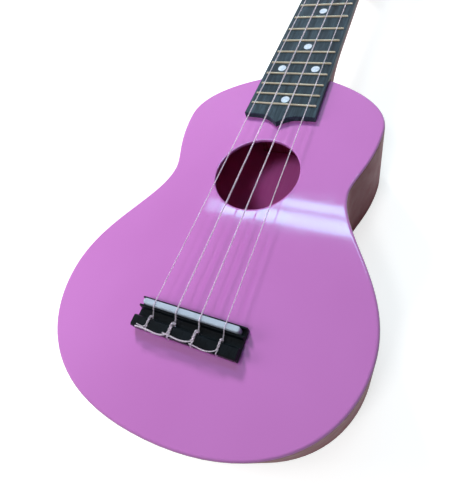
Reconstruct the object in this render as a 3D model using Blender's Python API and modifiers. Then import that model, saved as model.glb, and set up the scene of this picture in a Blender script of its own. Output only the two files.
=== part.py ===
"""Soprano ukulele, built piece by piece at its real size.

Frame: X across the body towards the thinnest string, Y from the saddle towards the head, Z up
out of the soundboard. The origin is on the outer face of the back, straight below the saddle,
so the scale length is measured along Y from the origin. Sizes below are in millimetres.
"""
import math

import bmesh
import bpy
from mathutils import Matrix, Vector

MM = 0.001

# Clearances
GAP = 0.3            # between two pieces that are glued or laid together
SNUG = 0.15          # round a pin or a pressed piece
RUNNING = 0.08       # round a turning shaft
SUNK = 0.2           # overlap of two shapes that are joined into one piece

# Scale and strings, from the lowest X to the highest
SCALE = 346.0
FRETS = 15
STRINGS = [("g", 0.60), ("c", 0.86), ("e", 0.80), ("a", 0.60)]
SADDLE_SPACING = 13.4
NUT_SPACING = 8.9

# Body
BODY_DEPTH = 52.2
TOP_Y = 178.2
TAIL_Y = -59.0
UPPER_HALF = 63.6
UPPER_Y = 134.8
WAIST_HALF = 55.0
WAIST_Y = 89.3
LOWER_HALF = 87.15
LOWER_Y = 7.75
NECK_END_PULL = 12.9
UPPER_PULL_UP = 28.7
UPPER_PULL_DOWN = 24.7
WAIST_PULL_UP = 9.6
WAIST_PULL_DOWN = 23.7
LOWER_PULL_UP = 35.7
LOWER_PULL_DOWN = 30.8
TAIL_PULL = 66.0
TOP_T = 2.0
BACK_T = 2.2
SIDE_T = 1.8
HOLE_R = 25.6
HOLE_Y = 93.5
LINING_W = 4.0
LINING_H = 7.0
NECK_BLOCK_W = 52.0
NECK_BLOCK_D = 24.0
TAIL_BLOCK_W = 44.0
TAIL_BLOCK_D = 13.0
BRACE_W = 6.0
BRACE_H = 8.0
BRACE_END_H = 3.0
BRACE_TAPER = 20.0
TOP_BRACE_UPPER_Y = 134.0
TOP_BRACE_LOWER_Y = 58.0
BACK_BRACE_UPPER_Y = 80.0
BACK_BRACE_LOWER_Y = 22.0

# Fingerboard, frets and nut
BOARD_T = 3.3
BOARD_NUT_HALF = 18.0
BOARD_END_HALF = 23.2
BOARD_END_Y = 136.7
BOARD_TIP_Y = 130.4
BOARD_TIP_PULL = 8.0
BOARD_TIP_STEPS = 8
FRET_W = 1.6
FRET_H = 0.8
FRET_STEPS = 6
FRET_INSET = 1.5
TANG_W = 0.5
TANG_D = 1.5
NUT_L = 4.0
NUT_H = 6.2
NUT_ACTION = 0.8

# Bridge and saddle
BRIDGE_HALF = 29.6
BRIDGE_FRONT = 2.9
BRIDGE_REAR = -13.7
LIP_H = 5.4
LIP_ROUND = 1.1
WALL_REAR = -2.8
WALL_SLOPE = 0.5
SLOT_DEPTH = 3.0
VALLEY_H = 2.2
TIE_FRONT = -7.3
TIE_RIDGE = -8.2
TIE_H = 5.8
TIE_EDGE = 0.8
TIE_LEAN = 0.2
TIE_HOLE_R = 0.8
TIE_HOLE_H = 3.1
SADDLE_T = 3.2
SADDLE_HALF = 27.4
SADDLE_H = 7.6
SADDLE_ROUND = 0.6
SADDLE_CORNER = 2.0

# Neck and headstock
NECK_D_NUT = 12.5
NECK_D_BODY = 14.5
HEEL_D = 44.0
HEEL_LENGTH = 30.0
HEEL_CAP_L = 5.0
HEEL_BURIED = 4.0
NECK_TURN_L = 6.0
HEAD_ROOT_L = 15.0
HEAD_TILT = 13.0
HEAD_T = 11.0
HEAD_L = 106.0
HEAD_HALF_LOW = 27.5
HEAD_LOW_V = 20.0
HEAD_HALF_TOP = 30.5
HEAD_TOP_V = 88.0
HEAD_CORNER_V = 97.0
HEAD_ROOT_PULL = 9.0
HEAD_SIDE_PULL_LOW = 25.0
HEAD_SIDE_PULL_TOP = 22.0
HEAD_CORNER_IN = 11.0
HEAD_CORNER_PULL_UP = 7.0
HEAD_CORNER_PULL_IN = 5.0
HEAD_CREST_PULL_LOW = 13.0
HEAD_CREST_PULL_TOP = 9.0
HEAD_STEPS = 6

# Tuning machines: one worm and one wheel each
POST_HALF_SPACING = 17.5
POST_NEAR_V = 28.0
POST_FAR_V = 64.0
WHEEL_TEETH = 14
WORM_PITCH = 1.85
WORM_PITCH_R = 2.15
ADDENDUM = 0.5
DEDENDUM = 0.65
BACKLASH = 0.30
PRESSURE_ANGLE = 20.0
WORM_LENGTH = 6.6
WHEEL_T = 3.0
WHEEL_HUB_R = 3.0
POST_R = 2.75
POST_WAIST_R = 2.2
POST_PIVOT_R = 1.7
POST_UP = 14.0
POST_CAP_R = 3.2
POST_HOLE_R = 0.8
POST_HOLE_N = 9.0
POST_WAIST_LOW = 3.0
FERRULE_R = 4.0
FERRULE_D = 6.0
FLANGE_R = 5.2
FLANGE_T = 1.0
PLATE_T = 1.0
PLATE_HALF_X = 9.5
PLATE_TOP_V = 8.0
PLATE_FOOT_V = 4.2
EAR_T = 1.2
EAR_HALF_V = 2.9
EAR_OVER = 2.6
BUTTON_GAP = 4.0
BUTTON_L = 15.0
BUTTON_HALF_W = 6.6
BUTTON_HALF_T = 3.6
BUTTON_BORE_D = 9.0

# Windings on the posts
TURNS = 2.0
TURN_POINTS = 24
TURN_GAP = 0.55
RISE_TO_HOLE = 0.5    # of a pitch, climbed between the last turn and the hole
STRING_END = 1.6

# Places that follow from the sizes above
TOP_Z = BODY_DEPTH
BACK_IN_Z = BACK_T
TOP_IN_Z = BODY_DEPTH - TOP_T
INNER = SIDE_T + GAP
RING_IN = INNER + LINING_W
BOARD_Z = TOP_Z + GAP
BOARD_TOP_Z = BOARD_Z + BOARD_T
FRET_TOP_Z = BOARD_TOP_Z + GAP + FRET_H
NUT_BACK_Y = SCALE + NUT_L
HEAD_Y = NUT_BACK_Y + GAP
TILT = math.radians(HEAD_TILT)
WHEEL_R = WHEEL_TEETH * WORM_PITCH / (2 * math.pi)
CENTRES = WHEEL_R + WORM_PITCH_R
SHAFT_R = WORM_PITCH_R - DEDENDUM
PLATE_TOP_N = -(HEAD_T + GAP)
PLATE_LOW_N = PLATE_TOP_N - PLATE_T
WORM_N = PLATE_LOW_N - (WORM_PITCH_R + ADDENDUM + GAP)
WHEEL_LOW_N = WORM_N - WHEEL_T / 2
BUTTON_X = HEAD_HALF_TOP + BUTTON_GAP

HEAD_FRAME = Matrix(((1, 0, 0, 0),
                     (0, math.cos(TILT), math.sin(TILT), HEAD_Y * MM),
                     (0, -math.sin(TILT), math.cos(TILT), TOP_Z * MM),
                     (0, 0, 0, 1)))

# Frames for flat outlines: the outline's u and v, then the direction of its thickness
FLAT = Matrix.Identity(4)
ALONG_X = Matrix(((0, 0, 1, 0), (1, 0, 0, 0), (0, 1, 0, 0), (0, 0, 0, 1)))
ALONG_MINUS_Y = Matrix(((1, 0, 0, 0), (0, 0, -1, 0), (0, 1, 0, 0), (0, 0, 0, 1)))

PART = None
CUTTERS = None


def start():
    """Empty the scene and make the two collections."""
    global PART, CUTTERS
    for thing in list(bpy.data.objects):
        bpy.data.objects.remove(thing, do_unlink=True)
    PART = bpy.data.collections.new("soprano_ukulele")
    CUTTERS = bpy.data.collections.new("cutters")
    for collection in (PART, CUTTERS):
        bpy.context.scene.collection.children.link(collection)


def finish(name, colour, roughness, metallic=0.0):
    """One Principled material."""
    material = bpy.data.materials.new(name)
    material.use_nodes = True
    shader = material.node_tree.nodes["Principled BSDF"]
    shader.inputs["Base Color"].default_value = (*colour, 1.0)
    shader.inputs["Roughness"].default_value = roughness
    shader.inputs["Metallic"].default_value = metallic
    return material


def add(name, mesh, material=None, frame=None):
    """A named piece of the ukulele, or a cutter where it has no material."""
    piece = bpy.data.objects.new(name, mesh)
    if frame is not None:
        piece.matrix_world = frame
    if material is None:
        CUTTERS.objects.link(piece)
        piece.hide_render = True
        piece.display_type = "WIRE"
        return piece
    PART.objects.link(piece)
    mesh.materials.clear()
    mesh.materials.append(material)
    return piece


def combine(piece, other, operation):
    """Cut or join a piece with another object."""
    boolean = piece.modifiers.new(other.name, "BOOLEAN")
    boolean.operation = operation
    boolean.solver = "EXACT"
    boolean.object = other


def closed_mesh(bm, name):
    """Mesh of a closed bmesh with its faces pointing out."""
    bmesh.ops.remove_doubles(bm, verts=bm.verts, dist=1e-7)
    bmesh.ops.recalc_face_normals(bm, faces=bm.faces)
    mesh = bpy.data.meshes.new(name)
    bm.to_mesh(mesh)
    bm.free()
    return mesh


def flat_mesh(loops, low, high, frame=FLAT):
    """A flat outline, with any holes, made solid between two heights of its frame."""
    curve = bpy.data.curves.new("outline", "CURVE")
    curve.dimensions = "2D"
    curve.fill_mode = "BOTH"
    curve.extrude = (high - low) / 2 * MM
    for loop in loops:
        spline = curve.splines.new("POLY")
        spline.points.add(len(loop) - 1)
        spline.use_cyclic_u = True
        for point, (u, v) in zip(spline.points, loop):
            point.co = (u * MM, v * MM, 0, 1)
    holder = bpy.data.objects.new("outline", curve)
    bpy.context.scene.collection.objects.link(holder)
    evaluated = holder.evaluated_get(bpy.context.evaluated_depsgraph_get())
    mesh = bpy.data.meshes.new_from_object(evaluated)
    bpy.data.objects.remove(holder)
    bpy.data.curves.remove(curve)
    bm = bmesh.new()
    bm.from_mesh(mesh)
    bpy.data.meshes.remove(mesh)
    middle = Matrix.Translation((0, 0, (low + high) / 2 * MM))
    bmesh.ops.transform(bm, matrix=frame @ middle, verts=bm.verts)
    return closed_mesh(bm, "outline")


def box_mesh(low, high):
    """An axis-aligned box between two corners."""
    size = [b - a for a, b in zip(low, high)]
    middle = [(a + b) / 2 for a, b in zip(low, high)]
    bm = bmesh.new()
    bmesh.ops.create_cube(bm, size=1.0)
    bmesh.ops.scale(bm, vec=Vector(size) * MM, verts=bm.verts)
    bmesh.ops.translate(bm, vec=Vector(middle) * MM, verts=bm.verts)
    return closed_mesh(bm, "box")


def rod_mesh(radius, low, high, segments):
    """A round rod along Z."""
    bm = bmesh.new()
    bmesh.ops.create_cone(bm, cap_ends=True, segments=segments, radius1=radius * MM,
                          radius2=radius * MM, depth=(high - low) * MM)
    bmesh.ops.translate(bm, vec=(0, 0, (low + high) / 2 * MM), verts=bm.verts)
    return closed_mesh(bm, "rod")


def turned(name, profile, material, frame, segments, ring=False):
    """A turned piece about its Z axis: (radius, height) from top to bottom on the outer side."""
    mesh = bpy.data.meshes.new(name)
    count = len(profile)
    edges = [(i, i + 1) for i in range(count - 1)]
    if ring:
        edges.append((count - 1, 0))
    mesh.from_pydata([(r * MM, 0, z * MM) for r, z in profile], edges, [])
    piece = add(name, mesh, material, frame)
    screw = piece.modifiers.new("turn", "SCREW")
    screw.steps = segments
    screw.render_steps = segments
    screw.use_merge_vertices = True
    screw.merge_threshold = 0.00001
    screw.use_smooth_shade = True
    return piece


def loft_mesh(sections):
    """Closed mesh through rings with the same number of points, capped at both ends."""
    bm = bmesh.new()
    rings = [[bm.verts.new(Vector(p) * MM) for p in section] for section in sections]
    count = len(rings[0])
    for here, there in zip(rings, rings[1:]):
        for i in range(count):
            j = (i + 1) % count
            bm.faces.new((here[i], here[j], there[j], there[i]))
    bm.faces.new(rings[0])
    bm.faces.new(rings[-1])
    return closed_mesh(bm, "loft")


def bezier(a, b, c, d, steps):
    """Points of a cubic, without its last one."""
    found = []
    for i in range(steps):
        t = i / steps
        s = 1 - t
        found.append(tuple(s**3 * p + 3 * s * s * t * q + 3 * s * t * t * r + t**3 * w
                           for p, q, r, w in zip(a, b, c, d)))
    return found


def half_outline(inset=0.0, steps=9):
    """Treble half of the body's outline, from the neck end to the tail, moved in by an inset."""
    knots = [(0, TOP_Y), (UPPER_HALF, UPPER_Y), (WAIST_HALF, WAIST_Y), (LOWER_HALF, LOWER_Y),
             (0, TAIL_Y)]
    pulls = [(NECK_END_PULL, UPPER_PULL_UP), (UPPER_PULL_DOWN, WAIST_PULL_UP),
             (WAIST_PULL_DOWN, LOWER_PULL_UP), (LOWER_PULL_DOWN, TAIL_PULL)]
    ways = [(1, 0), (0, -1), (0, -1), (0, -1), (-1, 0)]
    points = []
    for i, (leave, arrive) in enumerate(pulls):
        a, d = knots[i], knots[i + 1]
        b = tuple(p + leave * w for p, w in zip(a, ways[i]))
        c = tuple(p - arrive * w for p, w in zip(d, ways[i + 1]))
        points += bezier(a, b, c, d, steps)
    points.append(knots[-1])
    moved = []
    for i, (x, y) in enumerate(points):
        before = points[i - 1] if i else (-points[1][0], points[1][1])
        after = points[i + 1] if i + 1 < len(points) else (-points[-2][0], points[-2][1])
        along = Vector((after[0] - before[0], after[1] - before[1])).normalized()
        moved.append((x + along.y * inset, y - along.x * inset))
    return moved


def outline(inset=0.0):
    """The whole outline of the body as one loop."""
    half = half_outline(inset)
    return half + [(-x, y) for x, y in reversed(half[1:-1])]


def clipped(half, edge):
    """A half outline that starts and ends where X is at an edge."""
    def at_edge(p, q):
        t = (edge - p[0]) / (q[0] - p[0])
        return (edge, p[1] + t * (q[1] - p[1]))
    inside = [i for i, p in enumerate(half) if p[0] > edge]
    first, last = inside[0], inside[-1]
    start_point = at_edge(half[first - 1], half[first])
    end_point = at_edge(half[last], half[last + 1])
    return [start_point] + half[first:last + 1] + [end_point]


def half_width(y, inset):
    """Half of the space inside the outline at one Y."""
    half = half_outline(inset)
    found = []
    for p, q in zip(half, half[1:]):
        if min(p[1], q[1]) <= y <= max(p[1], q[1]) and p[1] != q[1]:
            t = (y - p[1]) / (q[1] - p[1])
            found.append(p[0] + t * (q[0] - p[0]))
    return min(found)


def circle(x, y, radius, count):
    """A round loop."""
    return [(x + radius * math.cos(2 * math.pi * i / count),
             y + radius * math.sin(2 * math.pi * i / count)) for i in range(count)]


def make_plates(materials):
    """Soundboard with its hole, and the flat back."""
    mesh = flat_mesh([outline(), circle(0, HOLE_Y, HOLE_R, 48)], TOP_IN_Z, TOP_Z)
    add("soundboard", mesh, materials["top"])
    add("back_plate", flat_mesh([outline()], 0, BACK_T), materials["side"])


def make_sides(materials):
    """Two bent sides that meet at the neck end and at the tail."""
    outer = clipped(half_outline(0), GAP / 2)
    inner = clipped(half_outline(SIDE_T), GAP / 2)
    loop = outer + inner[::-1]
    low, high = BACK_IN_Z + GAP, TOP_IN_Z - GAP
    add("side_treble", flat_mesh([loop], low, high), materials["side"])
    mirrored = [(-x, y) for x, y in loop[::-1]]
    add("side_bass", flat_mesh([mirrored], low, high), materials["side"])


def make_linings(materials):
    """Strips that glue the soundboard and the back to the sides."""
    loops = [outline(INNER), outline(RING_IN)]
    high = TOP_IN_Z - GAP
    add("soundboard_lining", flat_mesh(loops, high - LINING_H, high), materials["lining"])
    low = BACK_IN_Z + GAP
    add("back_lining", flat_mesh(loops, low, low + LINING_H), materials["lining"])


def make_block(name, half, width, inner_y, materials):
    """An end block, rebated where the two linings pass it."""
    within = next(i for i, p in enumerate(half) if p[0] > width / 2)
    face = half[:within] + [clipped(half, width / 2)[0]]
    loop = face + [(width / 2, inner_y), (-width / 2, inner_y)]
    loop += [(-x, y) for x, y in reversed(face[1:])]
    low, high = BACK_IN_Z + GAP, TOP_IN_Z - GAP
    block = add(name, flat_mesh([loop], low, high), materials["block"])
    rebate = [outline(INNER - 2 * GAP), outline(RING_IN + GAP)]
    for label, a, b in (("low", low - GAP, low + LINING_H + GAP),
                        ("high", high - LINING_H - GAP, high + GAP)):
        cutter = add(f"{name}_rebate_{label}", flat_mesh([*rebate], a, b))
        combine(block, cutter, "DIFFERENCE")


def make_blocks(materials):
    """Neck block and tail block."""
    half = half_outline(INNER)
    make_block("neck_block", half, NECK_BLOCK_W, TOP_Y - INNER - NECK_BLOCK_D, materials)
    make_block("tail_block", half[::-1], TAIL_BLOCK_W, TAIL_Y + INNER + TAIL_BLOCK_D, materials)


def make_brace(name, y, seat, way, materials):
    """A cross brace with tapered ends. It stands on a seat height and grows up or down."""
    reach = min(half_width(y + s * BRACE_W / 2, RING_IN + GAP) for s in (-1, 1)) - GAP
    tip = seat + way * BRACE_END_H
    crown = seat + way * BRACE_H
    loop = [(-reach, seat), (reach, seat), (reach, tip), (reach - BRACE_TAPER, crown),
            (BRACE_TAPER - reach, crown), (-reach, tip)]
    mesh = flat_mesh([loop], -y - BRACE_W / 2, -y + BRACE_W / 2, ALONG_MINUS_Y)
    add(name, mesh, materials["brace"])


def make_braces(materials):
    """Cross braces under the soundboard and on the back."""
    high, low = TOP_IN_Z - GAP, BACK_IN_Z + GAP
    make_brace("soundboard_brace_upper", TOP_BRACE_UPPER_Y, high, -1, materials)
    make_brace("soundboard_brace_lower", TOP_BRACE_LOWER_Y, high, -1, materials)
    make_brace("back_brace_upper", BACK_BRACE_UPPER_Y, low, 1, materials)
    make_brace("back_brace_lower", BACK_BRACE_LOWER_Y, low, 1, materials)


def fret_y(number):
    """Place of a fret along the scale."""
    return SCALE * 2 ** (-number / 12)


def board_half(y):
    """Half width of the fingerboard."""
    t = (SCALE - y) / (SCALE - BOARD_END_Y)
    return BOARD_NUT_HALF + t * (BOARD_END_HALF - BOARD_NUT_HALF)


def make_fingerboard(materials):
    """Tapered fingerboard with a pointed end over the body and a slot for each fret."""
    start_y = SCALE - GAP
    corner = (BOARD_END_HALF, BOARD_END_Y)
    tip = (0, BOARD_TIP_Y)
    pull = (BOARD_TIP_PULL, BOARD_END_Y)
    side = [(board_half(start_y), start_y)]
    side += bezier(corner, pull, pull, tip, BOARD_TIP_STEPS)
    loop = side + [tip] + [(-x, y) for x, y in reversed(side)]
    board = add("fingerboard", flat_mesh([loop], BOARD_Z, BOARD_TOP_Z), materials["board"])
    bm = bmesh.new()
    for number in range(1, FRETS + 1):
        y = fret_y(number)
        half = TANG_W / 2 + SNUG
        slot = box_mesh((-BOARD_END_HALF - 1, y - half, BOARD_TOP_Z - TANG_D - SNUG),
                        (BOARD_END_HALF + 1, y + half, BOARD_TOP_Z + 1))
        bm.from_mesh(slot)
        bpy.data.meshes.remove(slot)
    combine(board, add("fret_slots", closed_mesh(bm, "fret_slots")), "DIFFERENCE")


def make_frets(materials):
    """Frets with a domed crown and a tang in the board's slot."""
    seat = BOARD_TOP_Z + GAP
    for number in range(1, FRETS + 1):
        y = fret_y(number)
        dome = []
        for i in range(FRET_STEPS + 1):
            angle = math.pi * i / FRET_STEPS
            dome.append((y + FRET_W / 2 * math.cos(angle), seat + FRET_H * math.sin(angle)))
        tang = [(y - TANG_W / 2, seat), (y - TANG_W / 2, BOARD_TOP_Z - TANG_D),
                (y + TANG_W / 2, BOARD_TOP_Z - TANG_D), (y + TANG_W / 2, seat)]
        half = board_half(y) - FRET_INSET
        mesh = flat_mesh([dome + tang], -half, half, ALONG_X)
        add(f"fret_{number:02d}", mesh, materials["fret"])


def string_x(index, spacing):
    """Place of a string across the instrument."""
    return (index - (len(STRINGS) - 1) / 2) * spacing


def string_height(index):
    """Height of a string's centre at the nut."""
    return FRET_TOP_Z + NUT_ACTION + STRINGS[index][1] / 2


def make_nut(materials):
    """Nut with a notch for each string."""
    low = (-BOARD_NUT_HALF, SCALE, BOARD_Z)
    high = (BOARD_NUT_HALF, NUT_BACK_Y, TOP_Z + NUT_H)
    nut = add("nut", box_mesh(low, high), materials["bone"])
    for index, (name, gauge) in enumerate(STRINGS):
        x = string_x(index, NUT_SPACING)
        half = gauge / 2 + GAP
        floor = string_height(index) - gauge / 2 - GAP
        notch = box_mesh((x - half, SCALE - 1, floor), (x + half, NUT_BACK_Y + 1, floor + 9))
        combine(nut, add(f"nut_notch_{name}", notch), "DIFFERENCE")


def make_bridge(materials):
    """Tie bridge: lip, saddle slot, wall, valley and tie block, with a hole for each string."""
    base = TOP_Z + GAP
    slot = SADDLE_T / 2 + SNUG
    floor = TOP_Z + LIP_H - SLOT_DEPTH
    lip, tie = TOP_Z + LIP_H, TOP_Z + TIE_H
    loop = [(BRIDGE_FRONT, base), (BRIDGE_FRONT, lip - LIP_ROUND),
            (BRIDGE_FRONT - LIP_ROUND * 0.3, lip - LIP_ROUND * 0.3),
            (BRIDGE_FRONT - LIP_ROUND, lip), (slot, lip), (slot, floor), (-slot, floor),
            (-slot, lip), (WALL_REAR, lip), (WALL_REAR - WALL_SLOPE, TOP_Z + VALLEY_H),
            (TIE_FRONT, TOP_Z + VALLEY_H), (TIE_FRONT - TIE_LEAN, tie - TIE_EDGE),
            (TIE_RIDGE, tie), (BRIDGE_REAR + TIE_EDGE, tie), (BRIDGE_REAR, tie - TIE_EDGE),
            (BRIDGE_REAR, base)]
    mesh = flat_mesh([loop[::-1]], -BRIDGE_HALF, BRIDGE_HALF, ALONG_X)
    bridge = add("bridge", mesh, materials["bridge"])
    for index, (name, _gauge) in enumerate(STRINGS):
        x = string_x(index, SADDLE_SPACING)
        frame = Matrix.Translation(Vector((x, 0, TOP_Z + TIE_HOLE_H)) * MM)
        turn = Matrix.Rotation(math.pi / 2, 4, "X")
        rod = rod_mesh(TIE_HOLE_R, -TIE_FRONT - 3, -BRIDGE_REAR + 3, 10)
        combine(bridge, add(f"tie_hole_{name}", rod, frame=frame @ turn), "DIFFERENCE")


def make_saddle(materials):
    """Straight saddle with round ends, standing in the bridge's slot."""
    low = TOP_Z + LIP_H - SLOT_DEPTH + GAP
    high = TOP_Z + SADDLE_H
    loop = [(-SADDLE_HALF, low), (SADDLE_HALF, low)]
    for side, angles in ((1, range(0, 91, 30)), (-1, range(90, 181, 30))):
        for degrees in angles:
            angle = math.radians(degrees)
            loop.append((side * (SADDLE_HALF - SADDLE_CORNER) + SADDLE_CORNER * math.cos(angle),
                         high - SADDLE_CORNER + SADDLE_CORNER * math.sin(angle)))
    mesh = flat_mesh([loop], -SADDLE_T / 2, SADDLE_T / 2, ALONG_MINUS_Y)
    saddle = add("saddle", mesh, materials["bone"])
    bevel = saddle.modifiers.new("round", "BEVEL")
    bevel.width = SADDLE_ROUND * MM
    bevel.segments = 2
    bevel.limit_method = "ANGLE"
    bevel.angle_limit = math.radians(50)


def neck_section(y, top, depth, half, squareness):
    """One slice of the neck: flat on top, round underneath."""
    points = []
    count = 15
    for i in range(count + 1):
        angle = math.pi * i / count
        side = math.cos(angle)
        x = half * math.copysign(abs(side) ** squareness, side)
        points.append((x, y, top - depth * math.sin(angle) ** 0.85))
    return points


def make_neck(materials):
    """Neck with its heel, joined to the tilted headstock."""
    sections = []
    heel_start = TOP_Y - HEEL_BURIED
    steps = 12
    slim_y = TOP_Y + HEEL_LENGTH
    for i in range(steps + 1):
        y = heel_start + (slim_y - heel_start) * i / steps
        t = max(0.0, (y - TOP_Y - HEEL_CAP_L) / (HEEL_LENGTH - HEEL_CAP_L))
        fall = (1 - math.sqrt(max(0.0, 1 - (1 - t) ** 2)))
        depth = NECK_D_BODY + (HEEL_D - NECK_D_BODY) * fall
        squareness = 0.8 + 0.9 * fall
        sections.append(neck_section(y, TOP_Z, depth, board_half(y), squareness))
    for i in range(1, 6):
        y = slim_y + (NUT_BACK_Y - NECK_TURN_L - slim_y) * i / 5
        t = (y - slim_y) / (NUT_BACK_Y - slim_y)
        depth = NECK_D_BODY + (NECK_D_NUT - NECK_D_BODY) * t
        sections.append(neck_section(y, TOP_Z, depth, board_half(min(y, SCALE)), 0.8))
    sections.append(neck_section(HEAD_Y + SUNK, TOP_Z, NECK_D_NUT, BOARD_NUT_HALF, 0.8))
    for i in range(1, 4):
        run = HEAD_ROOT_L * i / 3
        drop = run * math.tan(TILT)
        under = HEAD_T / math.cos(TILT) + (NECK_D_NUT - HEAD_T) * (1 - i / 3) ** 2
        sections.append(neck_section(HEAD_Y + run, TOP_Z - drop - SUNK, under - 2 * SUNK,
                                     BOARD_NUT_HALF - SUNK, 0.6))
    neck = add("neck", loft_mesh(sections), materials["neck"])
    combine(neck, add("headstock_slab", head_mesh(), frame=HEAD_FRAME), "UNION")
    for name, x, v, _side in tuner_places():
        hole = rod_mesh(FERRULE_R + SNUG, -HEAD_T - 2, 2, 24)
        frame = HEAD_FRAME @ Matrix.Translation(Vector((x, v, 0)) * MM)
        combine(neck, add(f"post_hole_{name}", hole, frame=frame), "DIFFERENCE")
    clear = flat_mesh([outline(-GAP)], -GAP, TOP_Z + 1)
    combine(neck, add("body_clearance", clear), "DIFFERENCE")


def head_mesh():
    """Plain paddle headstock in its own tilted frame."""
    ear_v = HEAD_LOW_V
    side = bezier((BOARD_NUT_HALF - SUNK, 0), (BOARD_NUT_HALF, HEAD_ROOT_PULL),
                  (HEAD_HALF_LOW, HEAD_ROOT_PULL), (HEAD_HALF_LOW, ear_v), HEAD_STEPS + 2)
    side += bezier((HEAD_HALF_LOW, ear_v), (HEAD_HALF_LOW, ear_v + HEAD_SIDE_PULL_LOW),
                   (HEAD_HALF_TOP, HEAD_TOP_V - HEAD_SIDE_PULL_TOP),
                   (HEAD_HALF_TOP, HEAD_TOP_V), HEAD_STEPS)
    corner = (HEAD_HALF_TOP - HEAD_CORNER_IN, HEAD_CORNER_V)
    side += bezier((HEAD_HALF_TOP, HEAD_TOP_V), (HEAD_HALF_TOP, HEAD_TOP_V + HEAD_CORNER_PULL_UP),
                   (HEAD_HALF_TOP - HEAD_CORNER_PULL_IN, HEAD_CORNER_V), corner, HEAD_STEPS)
    side += bezier(corner, (HEAD_CREST_PULL_LOW, HEAD_CORNER_V), (HEAD_CREST_PULL_TOP, HEAD_L),
                   (0, HEAD_L), HEAD_STEPS)
    loop = side + [(0, HEAD_L)] + [(-x, v) for x, v in reversed(side)]
    return flat_mesh([loop], -HEAD_T, 0)


def tuner_places():
    """Name, X, distance along the headstock and side of each machine."""
    return [("g", -POST_HALF_SPACING, POST_NEAR_V, -1), ("c", -POST_HALF_SPACING, POST_FAR_V, -1),
            ("e", POST_HALF_SPACING, POST_FAR_V, 1), ("a", POST_HALF_SPACING, POST_NEAR_V, 1)]


def make_post(name, frame, materials):
    """String post: cap, waist with a cross hole, bearing and the pivot that holds the wheel."""
    low = WHEEL_LOW_N
    shoulder = PLATE_LOW_N - SNUG
    profile = [(0, POST_UP), (POST_CAP_R - 0.6, POST_UP), (POST_CAP_R, POST_UP - 0.6),
               (POST_CAP_R, POST_UP - 1.4), (POST_WAIST_R, POST_UP - 2.6),
               (POST_WAIST_R, POST_WAIST_LOW), (POST_R, POST_WAIST_LOW - 0.8),
               (POST_R, shoulder), (POST_PIVOT_R, shoulder), (POST_PIVOT_R, low), (0, low)]
    post = turned(f"tuner_post_{name}", profile, materials["chrome"], frame, 20)
    hole = rod_mesh(POST_HOLE_R, -POST_CAP_R - 1, POST_CAP_R + 1, 10)
    place = frame @ Matrix.Translation((0, 0, POST_HOLE_N * MM)) @ Matrix.Rotation(math.pi / 2, 4, "Y")
    combine(post, add(f"string_hole_{name}", hole, frame=place), "DIFFERENCE")


def make_ferrule(name, frame, materials):
    """Flanged bushing that lines the headstock's hole and carries the post."""
    bore = POST_R + RUNNING
    profile = [(bore, GAP + FLANGE_T), (FLANGE_R - 0.4, GAP + FLANGE_T), (FLANGE_R, GAP + 0.6),
               (FLANGE_R, GAP), (FERRULE_R, GAP), (FERRULE_R, -FERRULE_D), (bore, -FERRULE_D)]
    turned(f"tuner_ferrule_{name}", profile, materials["chrome"], frame, 20, ring=True)


def involute(radius, base):
    """Involute function at a radius."""
    angle = math.acos(min(1.0, base / radius))
    return math.tan(angle) - angle


def wheel_outline(turn):
    """Tooth outline of the worm wheel, turned by an angle, one tooth space facing the worm."""
    base = WHEEL_R * math.cos(math.radians(PRESSURE_ANGLE))
    root = WHEEL_R - DEDENDUM
    tip = WHEEL_R + ADDENDUM
    at_pitch = (WORM_PITCH - BACKLASH) / 4 / WHEEL_R + involute(WHEEL_R, base)
    loop = []
    for tooth in range(WHEEL_TEETH):
        centre = -math.pi / 2 + turn + (tooth + 0.5) * 2 * math.pi / WHEEL_TEETH
        flank = [(r, at_pitch - involute(r, base)) for r in (root, WHEEL_R, tip)]
        loop += [(r, centre - half) for r, half in flank]
        loop += [(r, centre + half) for r, half in reversed(flank)]
    return [(r * math.cos(a), r * math.sin(a)) for r, a in loop]


def make_wheel(name, frame, materials):
    """Worm wheel with skewed teeth, seated on the post's pivot."""
    lead = math.atan(WORM_PITCH / (2 * math.pi * WORM_PITCH_R))
    twist = math.tan(lead) * WHEEL_T / 2 / WHEEL_R
    sections = [[(x, v, WORM_N - WHEEL_T / 2) for x, v in wheel_outline(-twist)],
                [(x, v, WORM_N + WHEEL_T / 2) for x, v in wheel_outline(twist)]]
    wheel = add(f"tuner_wheel_{name}", loft_mesh(sections), materials["brass"], frame)
    top = PLATE_LOW_N - GAP
    hub = rod_mesh(WHEEL_HUB_R, WORM_N, top, 14)
    combine(wheel, add(f"wheel_hub_{name}", hub, frame=frame), "UNION")
    bore = rod_mesh(POST_PIVOT_R + SNUG, WHEEL_LOW_N - 1, top + 1, 14)
    combine(wheel, add(f"wheel_bore_{name}", bore, frame=frame), "DIFFERENCE")


def thread_mesh():
    """One helical rib of the worm, along Z, its foot sunk into the shaft."""
    slope = math.tan(math.radians(PRESSURE_ANGLE))
    half_pitch = (WORM_PITCH - BACKLASH) / 4
    foot_r = SHAFT_R - 0.15
    crest_r = WORM_PITCH_R + ADDENDUM
    foot = half_pitch + (WORM_PITCH_R - foot_r) * slope
    crest = half_pitch - (crest_r - WORM_PITCH_R) * slope
    run = WORM_LENGTH - 2 * foot
    steps = int(round(run / WORM_PITCH * 12))
    sections = []
    for i in range(steps + 1):
        z = -run / 2 + run * i / steps
        angle = 2 * math.pi * z / WORM_PITCH
        c, s = math.cos(angle), math.sin(angle)
        sections.append([(r * c, r * s, z + dz) for r, dz in
                         ((foot_r, -foot), (crest_r, -crest), (crest_r, crest), (foot_r, foot))])
    return loft_mesh(sections)


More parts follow.
